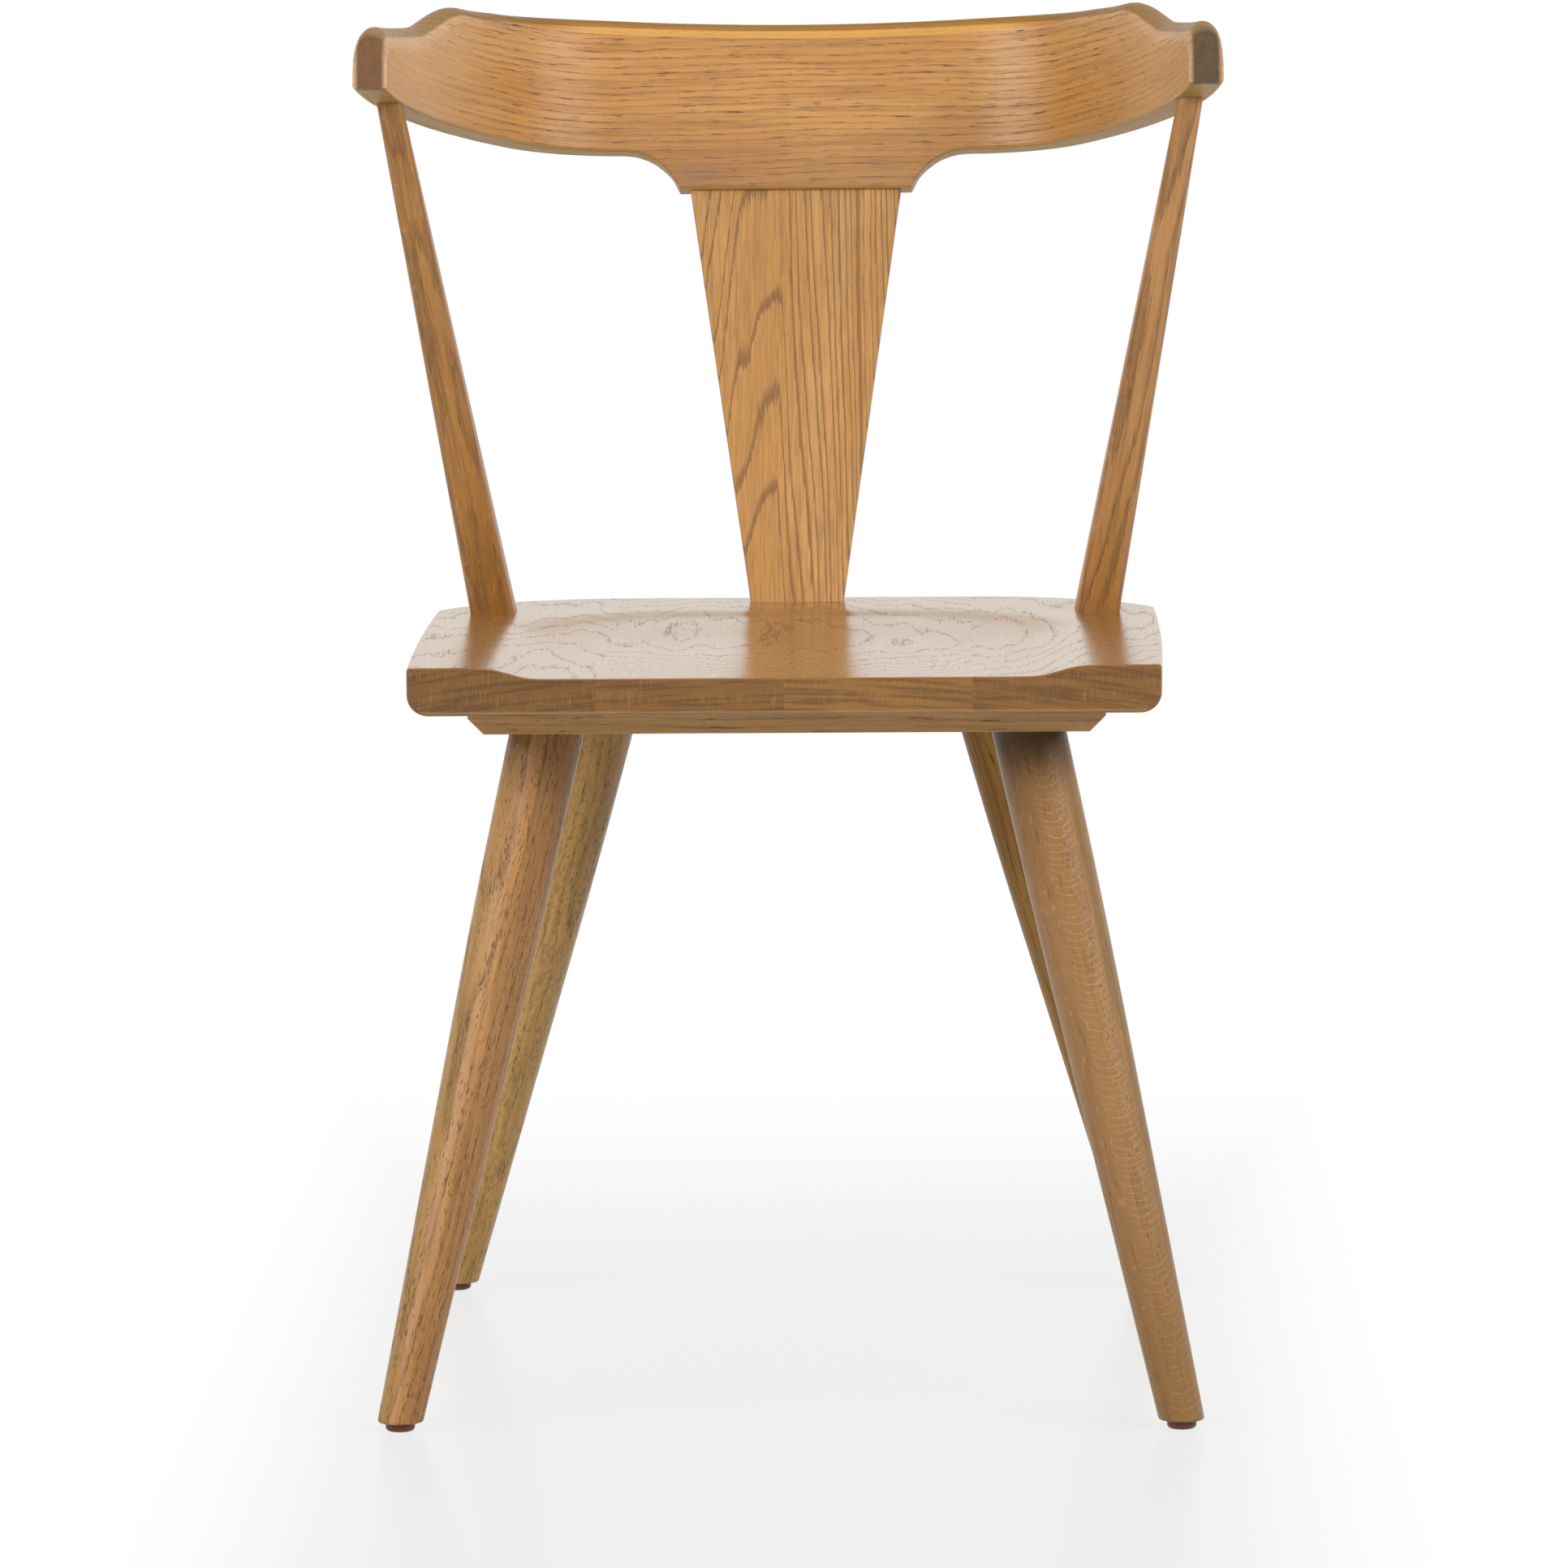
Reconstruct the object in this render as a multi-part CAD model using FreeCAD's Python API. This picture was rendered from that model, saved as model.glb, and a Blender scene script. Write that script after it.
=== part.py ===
import FreeCAD, Part
import math
import os
from FreeCAD import Placement, Rotation, Vector

# Oak dining chair: dished plank seat on four splayed legs, with a bent crest rail carried by
# one back splat and two side spindles. Millimetres, +Z up, front of the chair towards -Y,
# origin on the floor at the middle of the chair's footprint. The chair is symmetric in X.

# ---- seat -----------------------------------------------------------------------------
seat_height = 456.2
seat_thickness = 28.2
seat_front_y = -255.0
seat_rear_half_width = 224.0
seat_front_taper = 4.3
seat_rear_corner_y = 100.0
seat_rear_y = 175.0
seat_rear_flat_half = 110.0
seat_side_bow = 2.0
seat_corner_radius = 16.0
seat_under_radius = 12.3
seat_rim_radius = 2.0
stave_count = 4

# ---- dish sunk in the seat ------------------------------------------------------------
dish_half_width = 173.0
dish_side_slope = 25.0
dish_front_depth = 6.7
dish_middle_depth = 7.4
dish_middle_y = -60.0
dish_rear_depth = 2.8
dish_rear_y = 88.0
dish_rear_slope = 14.0
dish_corner_radius = 110.0

# ---- cleats under the seat ------------------------------------------------------------
cleat_thickness = 18.0
cleat_width = 60.0
cleat_end_chamfer = 9.6
cleat_edge_radius = 1.2
front_cleat_y = -160.0
front_cleat_half_length = 188.3
rear_cleat_y = 105.0
rear_cleat_half_length = 156.0

# ---- legs -----------------------------------------------------------------------------
front_leg_top_x = 142.6
front_leg_foot_x = 231.1
front_leg_foot_y = -225.3
rear_leg_top_x = 116.6
rear_leg_foot_x = 226.0
rear_leg_foot_y = 241.8
leg_foot_radius = 13.3
leg_knee_radius = 21.2
leg_top_radius = 21.8
leg_knee_place = 0.74
leg_knee_blend = 60.0
leg_foot_arris = 1.2
leg_tenon_radius = 12.5
leg_tenon_in_seat = 13.0

# ---- glides under the legs ------------------------------------------------------------
glide_radius = 8.75
glide_height = 5.3
glide_edge_radius = 2.4
nail_radius = 1.3
nail_length = 20.0
nail_point_length = 3.9
nail_tip_radius = 0.3
nail_head_radius = 3.4
nail_head_thickness = 1.2
nail_recess_depth = 2.0

# ---- screws that hold the cleats ------------------------------------------------------
screw_length = 28.0
screw_radius = 2.2
screw_head_radius = 4.4
screw_point_length = 6.0
screw_tip_radius = 0.4
screw_sink = 0.6
front_screw_places = (55.0, 163.0)
rear_screw_places = (50.0, 139.0)

# ---- crest rail -----------------------------------------------------------------------
back_rake = 12.0
rail_rear_y = 200.5
rail_lower_edge_z = 738.2
rail_thickness = 21.0
rail_flat_half = 110.0
rail_bend_radius = 72.6
rail_bend_angle = 52.5
rail_arm_radius = 368.0
rail_arm_sweep = 33.7
rail_under_radius = 2.0
rail_centre_top_z = 816.4
rail_shoulder_top_z = 831.0
rail_arm_top_z = 820.0
rail_arm_rise = 3.5
rail_arm_crown = 15.0
rail_shoulder_place = 248.0
rail_scoop_length = 58.0
rail_tip_roll = 17.0
rail_tip_roll_angle = 78.0
tab_drop = 24.6
tab_half_width = 73.4

# ---- back splat -----------------------------------------------------------------------
splat_thickness = 14.0
splat_recess = 3.5
splat_top_half_width = 66.7
splat_seat_half_width = 29.2
splat_arris = 1.5
splat_tongue_thickness = 8.0
splat_tongue_inset = 6.0
splat_top_tongue = 15.0
splat_seat_tongue = 18.0

# ---- side spindles --------------------------------------------------------------------
spindle_seat_x = 188.0
spindle_seat_y = 85.0
spindle_tip_setback = 56.0
spindle_seat_width = 27.4
spindle_seat_depth = 29.0
spindle_top_width = 14.8
spindle_top_depth = 20.0
spindle_corner_radius = 6.0
spindle_seat_tenon_radius = 8.0
spindle_seat_tenon = 20.0
spindle_top_tenon_radius = 5.5
spindle_top_tenon = 22.0

# ---- fits -----------------------------------------------------------------------------
glue_clearance = 0.1
tenon_end_gap = 0.5
nail_clearance = 0.05
screw_clearance = 0.15

# ---- sizes worked out from those above ------------------------------------------------
seat_under_z = seat_height - seat_thickness
seat_front_half_width = seat_rear_half_width - seat_front_taper
seat_half_span = seat_rear_half_width + seat_side_bow
cleat_under_z = seat_under_z - cleat_thickness
rake = math.radians(back_rake)
bend = math.radians(rail_bend_angle)
bend_end = rail_flat_half + rail_bend_radius * bend
arm_end = bend_end + rail_arm_radius * math.radians(rail_arm_sweep)
scoop_end = rail_shoulder_place + rail_scoop_length
rail_place = Placement(Vector(0, rail_rear_y, rail_lower_edge_z), Rotation(Vector(1, 0, 0), -back_rake))
reach = 1000.0


def mirrored(shape):
    """The same piece on the other side of the chair."""
    return shape.mirror(Vector(0, 0, 0), Vector(1, 0, 0))


def box_between(low, high):
    """A box from its lowest to its highest corner."""
    return Part.makeBox(high.x - low.x, high.y - low.y, high.z - low.z, low)


def below(level):
    """Everything under a horizontal plane."""
    return box_between(Vector(-reach, -reach, level - reach), Vector(reach, reach, level))


def above(level):
    """Everything over a horizontal plane."""
    return box_between(Vector(-reach, -reach, level), Vector(reach, reach, level + reach))


def along(start, end):
    """Placement at start whose Z axis points to end."""
    return Placement(start, Rotation(Vector(0, 0, 1), end - start))


def edges_where(shape, test):
    """Edges whose middle point and direction pass a test."""
    found = []
    for edge in shape.Edges:
        middle = (edge.FirstParameter + edge.LastParameter) / 2
        if test(edge.valueAt(middle), edge.tangentAt(middle)):
            found.append(edge)
    return found


def smooth_step(share):
    """0 to 1 with level ends."""
    share = min(max(share, 0.0), 1.0)
    return share * share * (3 - 2 * share)


def spread(start, end, steps):
    """Even stations after start, up to end."""
    return [start + (end - start) * step / steps for step in range(1, steps + 1)]


# ---- seat -----------------------------------------------------------------------------
def seat_outline():
    """Plan of the seat: bowed sides, rear corners swept into a straight rear edge."""
    run = seat_rear_half_width - seat_rear_flat_half
    fall = seat_rear_y - seat_rear_corner_y
    radius = (run ** 2 + fall ** 2) / (2 * fall)
    half_turn = math.asin(run / radius) / 2
    sweep_x = seat_rear_flat_half + radius * math.sin(half_turn)
    sweep_y = seat_rear_y - radius * (1 - math.cos(half_turn))
    side_x = (seat_front_half_width + seat_rear_half_width) / 2 + seat_side_bow
    side_y = (seat_front_y + seat_rear_corner_y) / 2
    edges = [Part.makeLine(Vector(-seat_front_half_width, seat_front_y, 0),
                           Vector(seat_front_half_width, seat_front_y, 0))]
    for side in (1, -1):
        front = Vector(side * seat_front_half_width, seat_front_y, 0)
        corner = Vector(side * seat_rear_half_width, seat_rear_corner_y, 0)
        flat = Vector(side * seat_rear_flat_half, seat_rear_y, 0)
        edges.append(Part.Arc(front, Vector(side * side_x, side_y, 0), corner).toShape())
        edges.append(Part.Arc(corner, Vector(side * sweep_x, sweep_y, 0), flat).toShape())
    edges.append(Part.makeLine(Vector(seat_rear_flat_half, seat_rear_y, 0),
                               Vector(-seat_rear_flat_half, seat_rear_y, 0)))
    return Part.Wire(Part.__sortEdges__(edges))


def dish_depth(x, y):
    """How far the seat's top lies below the rim at a point."""
    centre_x = dish_half_width - dish_corner_radius
    centre_y = dish_rear_y - dish_corner_radius
    across = max(abs(x) - centre_x, 0.0)
    back = max(y - centre_y, 0.0)
    to_edge = dish_corner_radius - math.hypot(across, back)
    turn = math.atan2(back, across) / (math.pi / 2) if across + back > 0 else 0.0
    slope = dish_side_slope + (dish_rear_slope - dish_side_slope) * turn
    if y < dish_middle_y:
        end_depth = dish_front_depth
        fall = smooth_step((y - seat_front_y) / (dish_middle_y - seat_front_y))
    else:
        end_depth = dish_rear_depth
        fall = smooth_step((dish_rear_y - y) / (dish_rear_y - dish_middle_y))
    floor_depth = end_depth + (dish_middle_depth - end_depth) * fall
    return floor_depth * smooth_step(to_edge / slope)


def pole_surface(poles):
    """Cubic surface over a grid of control points; it is flat wherever they are."""
    def knots(count):
        inner = count - 4
        return [4] + [1] * inner + [4], [float(step) for step in range(inner + 2)]
    mults_u, knots_u = knots(len(poles))
    mults_v, knots_v = knots(len(poles[0]))
    surface = Part.BSplineSurface()
    surface.buildFromPolesMultsKnots(poles, mults_u, mults_v, knots_u, knots_v, False, False, 3, 3)
    return surface


def dish_tool():
    """Solid over the dished surface; its lower face is the seat's top."""
    margin = 20.0
    slope_start = dish_half_width - dish_corner_radius
    half_stations = [0.0] + spread(0.0, slope_start, 4)
    half_stations += spread(slope_start, dish_half_width, 10)
    half_stations += spread(dish_half_width, seat_half_span + margin, 4)
    across = [-x for x in reversed(half_stations[1:])] + half_stations
    slope_start = dish_rear_y - dish_corner_radius
    back = [seat_front_y - margin] + spread(seat_front_y - margin, slope_start, 7)
    back += spread(slope_start, dish_rear_y, 10)
    back += spread(dish_rear_y, seat_rear_y + margin, 4)
    poles = [[Vector(x, y, seat_height - dish_depth(x, y)) for y in back] for x in across]
    return pole_surface(poles).toShape().extrude(Vector(0, 0, seat_thickness))


def seat_board():
    """The whole glued board, dished and eased at its edges, before it is cut for the joints."""
    blank = Part.Face(seat_outline()).extrude(Vector(0, 0, seat_thickness + seat_rim_radius))
    blank.translate(Vector(0, 0, seat_under_z))
    corners = edges_where(blank, lambda p, t: abs(t.z) > 0.9 and abs(p.y - seat_rear_corner_y) < 1)
    blank = blank.makeFillet(seat_corner_radius, corners)
    under = edges_where(blank, lambda p, t: p.z < seat_under_z + 1 and p.y > seat_front_y + 1)
    board = blank.makeFillet(seat_under_radius, under).cut(dish_tool())
    rim_level = seat_height - dish_front_depth - 1
    rim = edges_where(board, lambda p, t: p.z > rim_level and abs(t.z) < 0.7)
    front = edges_where(board, lambda p, t: p.z < rim_level and p.y < seat_front_y + 0.01)
    return board.makeFillet(seat_rim_radius, rim + front)


def seat_staves(board):
    """Staves of equal width, edge to edge, from left to right."""
    staves = []
    width = 2 * seat_front_half_width / stave_count
    for number in range(stave_count):
        low = -reach if number == 0 else -seat_front_half_width + number * width
        high = reach if number == stave_count - 1 else -seat_front_half_width + (number + 1) * width
        staves.append(board.common(box_between(Vector(low, -reach, 0), Vector(high, reach, reach))))
    return staves


# ---- cleats ---------------------------------------------------------------------------
def cleat(middle_y, half_length):
    """Bar under the seat with its lower ends chamfered."""
    low = cleat_under_z
    land = cleat_under_z + cleat_end_chamfer
    points = [
        (-half_length, seat_under_z), (-half_length, land), (-half_length + cleat_end_chamfer, low),
        (half_length - cleat_end_chamfer, low), (half_length, land), (half_length, seat_under_z),
    ]
    front_y = middle_y - cleat_width / 2
    corners = [Vector(x, front_y, z) for x, z in points]
    bar = Part.Face(Part.makePolygon(corners + corners[:1])).extrude(Vector(0, cleat_width, 0))
    lower = edges_where(bar, lambda p, t: abs(p.z - low) < 0.01 and abs(t.x) > 0.9)
    return bar.makeFillet(cleat_edge_radius, lower)


# ---- legs -----------------------------------------------------------------------------
def leg_points(top_x, top_y, foot_x, foot_y):
    """Ends of a leg's axis: where it meets the cleat and where it meets the glide."""
    return Vector(top_x, top_y, cleat_under_z), Vector(foot_x, foot_y, glide_height)


front_leg_points = leg_points(front_leg_top_x, front_cleat_y, front_leg_foot_x, front_leg_foot_y)
rear_leg_points = leg_points(rear_leg_top_x, rear_cleat_y, rear_leg_foot_x, rear_leg_foot_y)


def leg_tenon(points, gap):
    """Round tenon on a leg's axis, from inside the leg up into the seat, widened by a gap."""
    top, foot = points
    direction = (top - foot).normalize()
    rise = cleat_thickness + leg_tenon_in_seat + (tenon_end_gap if gap else 0)
    start = top - direction * leg_top_radius
    length = leg_top_radius + rise / direction.z
    pin = Part.makeCylinder(leg_tenon_radius + gap, length)
    pin.Placement = along(start, top)
    return pin


def leg_profile(length):
    """Side of a leg against its axis: two straight tapers that run on past both ends, blended at the knee."""
    knee = Vector(leg_knee_radius, 0, leg_knee_place * length)
    down = (Vector(leg_foot_radius, 0, 0) - knee).normalize()
    up = (Vector(leg_top_radius, 0, length) - knee).normalize()
    inward = (down + up).normalize()
    half_angle = down.getAngle(up) / 2
    centre_gap = leg_knee_blend / math.cos(half_angle)
    blend_radius = leg_knee_blend * math.tan(half_angle)
    blend = Part.Arc(knee + down * leg_knee_blend, knee + inward * (centre_gap - blend_radius),
                     knee + up * leg_knee_blend)
    low = knee + down * (knee.z + leg_top_radius)
    high = knee + up * (length - knee.z + leg_top_radius)
    sides = [Part.makeLine(low, blend.StartPoint), blend.toShape(), Part.makeLine(blend.EndPoint, high)]
    axis_low = Vector(0, 0, low.z)
    axis_high = Vector(0, 0, high.z)
    return Part.Wire(sides + [Part.makeLine(high, axis_high), Part.makeLine(axis_high, axis_low),
                              Part.makeLine(axis_low, low)])


def leg(points):
    """Turned leg, cut level at the cleat and at the glide, with its tenon and nail hole."""
    top, foot = points
    profile = Part.Face(leg_profile((top - foot).Length))
    turned = profile.revolve(Vector(0, 0, 0), Vector(0, 0, 1), 360)
    turned.Placement = along(foot, top)
    body = turned.common(below(top.z)).common(above(foot.z))
    arris = edges_where(body, lambda p, t: abs(p.z - foot.z) < 0.01)
    body = body.makeFillet(leg_foot_arris, arris)
    body = body.fuse(leg_tenon(points, 0)).removeSplitter()
    return body.cut(nail_hole(foot))


# ---- glides ---------------------------------------------------------------------------
def nail(foot):
    """Nail driven up through a glide into the foot: flat head, shank and point."""
    shank_length = nail_length - nail_point_length
    shank = Part.makeCylinder(nail_radius, shank_length)
    point = Part.makeCone(nail_radius, nail_tip_radius, nail_point_length, Vector(0, 0, shank_length))
    head = Part.makeCylinder(nail_head_radius, nail_head_thickness, Vector(0, 0, -nail_head_thickness))
    body = shank.fuse([point, head]).removeSplitter()
    body.translate(Vector(foot.x, foot.y, nail_recess_depth))
    return body


def nail_hole(foot):
    """Hole for a nail's shank, through the glide and up into the leg."""
    hole = Part.makeCylinder(nail_radius + nail_clearance, nail_length + tenon_end_gap)
    hole.translate(Vector(foot.x, foot.y, nail_recess_depth))
    return hole


def glide(foot):
    """Round pad with an eased lower edge and a recess for the nail's head."""
    pad = Part.makeCylinder(glide_radius, glide_height)
    pad = pad.makeFillet(glide_edge_radius, edges_where(pad, lambda p, t: p.z < 0.01 and abs(t.z) < 0.01))
    recess = Part.makeCylinder(nail_head_radius + nail_clearance, nail_recess_depth)
    pad = pad.cut(recess)
    pad.translate(Vector(foot.x, foot.y, 0))
    return pad.cut(nail_hole(foot))


# ---- screws ---------------------------------------------------------------------------
def screw(x, y):
    """Countersunk wood screw driven up through a cleat."""
    head_depth = screw_head_radius - screw_radius
    shank_length = screw_length - head_depth - screw_point_length
    head = Part.makeCone(screw_head_radius, screw_radius, head_depth)
    shank = Part.makeCylinder(screw_radius, shank_length, Vector(0, 0, head_depth))
    point = Part.makeCone(screw_radius, screw_tip_radius, screw_point_length,
                          Vector(0, 0, head_depth + shank_length))
    body = head.fuse([shank, point]).removeSplitter()
    body.translate(Vector(x, y, cleat_under_z + screw_sink))
    return body


def screw_hole(x, y):
    """Countersunk hole for a screw, up from the cleat's lower face."""
    radius = screw_radius + screw_clearance
    head_radius = screw_head_radius + screw_clearance
    head_depth = screw_head_radius - screw_radius
    mouth = Part.makeCylinder(head_radius, screw_sink)
    sink = Part.makeCone(head_radius, radius, head_depth, Vector(0, 0, screw_sink))
    hole = Part.makeCylinder(radius, screw_length - head_depth + tenon_end_gap,
                             Vector(0, 0, screw_sink + head_depth))
    body = mouth.fuse([sink, hole])
    body.translate(Vector(x, y, cleat_under_z))
    return body


def both_sides(places, middle_y, maker):
    """One solid at each place and its mirror image."""
    return [maker(side * x, middle_y) for x in places for side in (-1, 1)]


# ---- crest rail, in its own raked frame: X along, Y back, Z up the rake ------------------
def rail_plan(place):
    """Point, forward distance and turn of the rail's front face, at a length from the middle."""
    if place <= rail_flat_half:
        return place, 0.0, 0.0
    if place <= bend_end:
        turn = (place - rail_flat_half) / rail_bend_radius
        x = rail_flat_half + rail_bend_radius * math.sin(turn)
        return x, rail_bend_radius * (1 - math.cos(turn)), turn
    turn = bend + (place - bend_end) / rail_arm_radius
    x, forward, _ = rail_plan(bend_end)
    x += rail_arm_radius * (math.sin(turn) - math.sin(bend))
    forward += rail_arm_radius * (math.cos(bend) - math.cos(turn))
    return x, forward, turn


def rail_height(place, forward, turn):
    """Height of the rail up the rake: it rises to the shoulder, scoops to the arm and lifts at the tip."""
    if place <= rail_shoulder_place:
        share = place / rail_shoulder_place
        level = rail_centre_top_z + (rail_shoulder_top_z - rail_centre_top_z) * share * share
    else:
        share = (place - rail_shoulder_place) / rail_scoop_length
        lift = max(place - scoop_end, 0) / (arm_end - scoop_end)
        level = rail_shoulder_top_z + (rail_arm_top_z - rail_shoulder_top_z) * smooth_step(share)
        level += rail_arm_rise * lift * lift
    back = rail_thickness / 2 * math.cos(turn) - forward
    return (level - rail_lower_edge_z + back * math.sin(rake)) / math.cos(rake)


def quarter_ellipse(start, corner, end):
    """Quarter of an ellipse from start to end, tangent there to the lines through the corner."""
    pull = 4 / 3 * (math.sqrt(2) - 1)
    curve = Part.BezierCurve()
    curve.setPoles([start, start + (corner - start) * pull, end + (corner - end) * pull, end])
    return curve.toShape()


def rail_section(place, bottom, drop):
    """Outline of the rail across its length: flat foot with eased edges, rounded crown."""
    x, forward, turn = rail_plan(place)
    top = rail_height(place, forward, turn) - drop
    out = Vector(math.sin(turn), math.cos(turn), 0)
    base = Vector(x, -forward, 0)

    def at(across, up):
        return base + out * across + Vector(0, 0, up)

    thick = rail_thickness
    soft = rail_under_radius
    bevel = soft * (1 - math.sqrt(0.5))
    arm_share = smooth_step((place - rail_shoulder_place) / rail_scoop_length)
    spring = top - thick / 2 - (rail_arm_crown - thick / 2) * arm_share
    edges = [
        Part.makeLine(at(soft, bottom), at(thick - soft, bottom)),
        Part.Arc(at(thick - soft, bottom), at(thick - bevel, bottom + bevel),
                 at(thick, bottom + soft)).toShape(),
        Part.makeLine(at(thick, bottom + soft), at(thick, spring)),
        quarter_ellipse(at(thick, spring), at(thick, top), at(thick / 2, top)),
        quarter_ellipse(at(thick / 2, top), at(0, top), at(0, spring)),
        Part.makeLine(at(0, spring), at(0, bottom + soft)),
        Part.Arc(at(0, bottom + soft), at(bevel, bottom + bevel), at(soft, bottom)).toShape(),
    ]
    return Part.Wire(edges)


def cove_stations():
    """Lengths and heights of the cove that runs from the tab's corner up to the lower edge."""
    run = rail_flat_half - tab_half_width
    turn = 2 * math.atan(tab_drop / run)
    radius = run / math.sin(turn)
    stations = []
    for step in range(7):
        angle = turn * (1 - step / 6)
        stations.append((rail_flat_half - radius * math.sin(angle), -radius * (1 - math.cos(angle))))
    return stations


def rail_side():
    """The right-hand half of the rail outside the tab: cove, bend, shoulder, scoop and arm."""
    wires = [rail_section(place, bottom, 0) for place, bottom in cove_stations()]
    roll_start = arm_end - rail_tip_roll * math.sin(math.radians(rail_tip_roll_angle))
    places = spread(rail_flat_half, bend_end, 6)
    places += spread(bend_end, rail_shoulder_place, 4)
    places += spread(rail_shoulder_place, scoop_end, 7)
    places += spread(scoop_end, roll_start, 4)
    wires += [rail_section(place, 0, 0) for place in places]
    for angle in spread(0, math.radians(rail_tip_roll_angle), 5):
        place = roll_start + rail_tip_roll * math.sin(angle)
        wires.append(rail_section(place, 0, rail_tip_roll * (1 - math.cos(angle))))
    return Part.makeLoft(wires, True, False)


def rail_middle():
    """The stretch over the tab, which holds the splat."""
    places = [-tab_half_width, -tab_half_width / 2, 0, tab_half_width / 2, tab_half_width]
    wires = []
    for place in places:
        wire = rail_section(abs(place), -tab_drop, 0)
        if place < 0:
            wire = rail_section(0, -tab_drop, rail_height(0, 0, 0) - rail_height(-place, 0, 0))
            wire.translate(Vector(place, 0, 0))
        wires.append(wire)
    return Part.makeLoft(wires, True, False)


def crest_rail():
    """Bent rail with its tab, cut for the splat's tongue and the spindles' tenons."""
    side = rail_side()
    body = rail_middle().fuse([side, mirrored(side)]).removeSplitter()
    body = body.cut(splat_tongue(glue_clearance)[0])
    body.Placement = rail_place
    for pin in spindle_tenons(glue_clearance)[1:]:
        body = body.cut([pin, mirrored(pin)])
    return body


# ---- back splat, in the rail's raked frame ----------------------------------------------
def raked_height(y_back, level):
    """Height up the rake of a point at a world height, a distance behind the rail's face."""
    return (level - rail_lower_edge_z + y_back * math.sin(rake)) / math.cos(rake)


def splat_half_width(up):
    """Half width of the splat at a height up the rake."""
    low = raked_height(splat_recess, seat_height)
    share = (up - low) / (-tab_drop - low)
    return splat_seat_half_width + (splat_top_half_width - splat_seat_half_width) * share


def splat_blank(low, high, front, thickness, inset):
    """Tapered board between two heights up the rake."""
    a = splat_half_width(low) - inset
    b = splat_half_width(high) - inset
    corners = [Vector(-a, front, low), Vector(a, front, low), Vector(b, front, high), Vector(-b, front, high)]
    return Part.Face(Part.makePolygon(corners + corners[:1])).extrude(Vector(0, thickness, 0))


def splat_tongue(gap):
    """Tongues at the top and the foot of the splat, widened by a gap."""
    front = splat_recess + (splat_thickness - splat_tongue_thickness) / 2
    end = tenon_end_gap if gap else 0
    top = splat_blank(-tab_drop - 1, -tab_drop + splat_top_tongue + end, front - gap,
                      splat_tongue_thickness + 2 * gap, splat_tongue_inset - gap)
    seat_end = raked_height(front, seat_height - splat_seat_tongue - end)
    seat_start = raked_height(front + splat_thickness, seat_height) + 1
    foot = splat_blank(seat_end, seat_start, front - gap,
                       splat_tongue_thickness + 2 * gap, splat_tongue_inset - gap)
    return top, foot


def back_splat():
    """Tapered board, narrow at the seat, with a tongue at each end."""
    low = raked_height(0, seat_height) - splat_thickness
    board = splat_blank(low, -tab_drop, splat_recess, splat_thickness, 0)
    long_edges = edges_where(board, lambda p, t: abs(t.z) > 0.9)
    board = board.makeFillet(splat_arris, long_edges)
    top, foot = splat_tongue(0)
    for shape in (board, top, foot):
        shape.Placement = rail_place
    board = board.common(above(seat_height))
    return board.fuse([top, foot]).removeSplitter()


# ---- side spindles --------------------------------------------------------------------
def spindle_points():
    """Ends of a spindle's axis: on the seat and under the arm."""
    x, forward, turn = rail_plan(arm_end - spindle_tip_setback)
    under = Vector(x + rail_thickness / 2 * math.sin(turn), rail_thickness / 2 * math.cos(turn) - forward, 0)
    return Vector(spindle_seat_x, spindle_seat_y, seat_height), rail_place.multVec(under)


def spindle_tenons(gap):
    """Round tenons at the seat and under the arm, widened by a gap."""
    low, high = spindle_points()
    direction = (high - low).normalize()
    end = tenon_end_gap if gap else 0
    foot_length = (spindle_seat_tenon + end) / direction.z
    foot = Part.makeCylinder(spindle_seat_tenon_radius + gap, foot_length + spindle_seat_depth)
    foot.Placement = along(low - direction * foot_length, high)
    top = Part.makeCylinder(spindle_top_tenon_radius + gap, spindle_top_tenon + end + spindle_top_depth)
    top.Placement = along(high - direction * spindle_top_depth, high + direction)
    return foot, top


def side_spindle():
    """Tapered spindle, widest at the seat, with eased corners and a round tenon at each end."""
    low, high = spindle_points()
    length = (high - low).Length
    spare = spindle_seat_depth / length

    def half_sizes(share):
        width = spindle_seat_width + (spindle_top_width - spindle_seat_width) * share
        depth = spindle_seat_depth + (spindle_top_depth - spindle_seat_depth) * share
        return width / 2, depth / 2

    wide, deep = half_sizes(-spare)
    narrow, shallow = half_sizes(1 + spare)
    body = Part.makeWedge(-wide, -spare * length, -deep, -shallow, -narrow,
                          wide, (1 + spare) * length, deep, shallow, narrow)
    corners = edges_where(body, lambda p, t: abs(t.y) > 0.9)
    body = body.makeFillet(spindle_corner_radius, corners)
    upright = Placement(Vector(0, 0, 0), Rotation(Vector(1, 0, 0), 90))
    body.Placement = along(low, high).multiply(upright)
    under_arm = below(0)
    under_arm.Placement = rail_place
    body = body.common(above(seat_height)).common(under_arm)
    return body.fuse(list(spindle_tenons(0))).removeSplitter()


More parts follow.
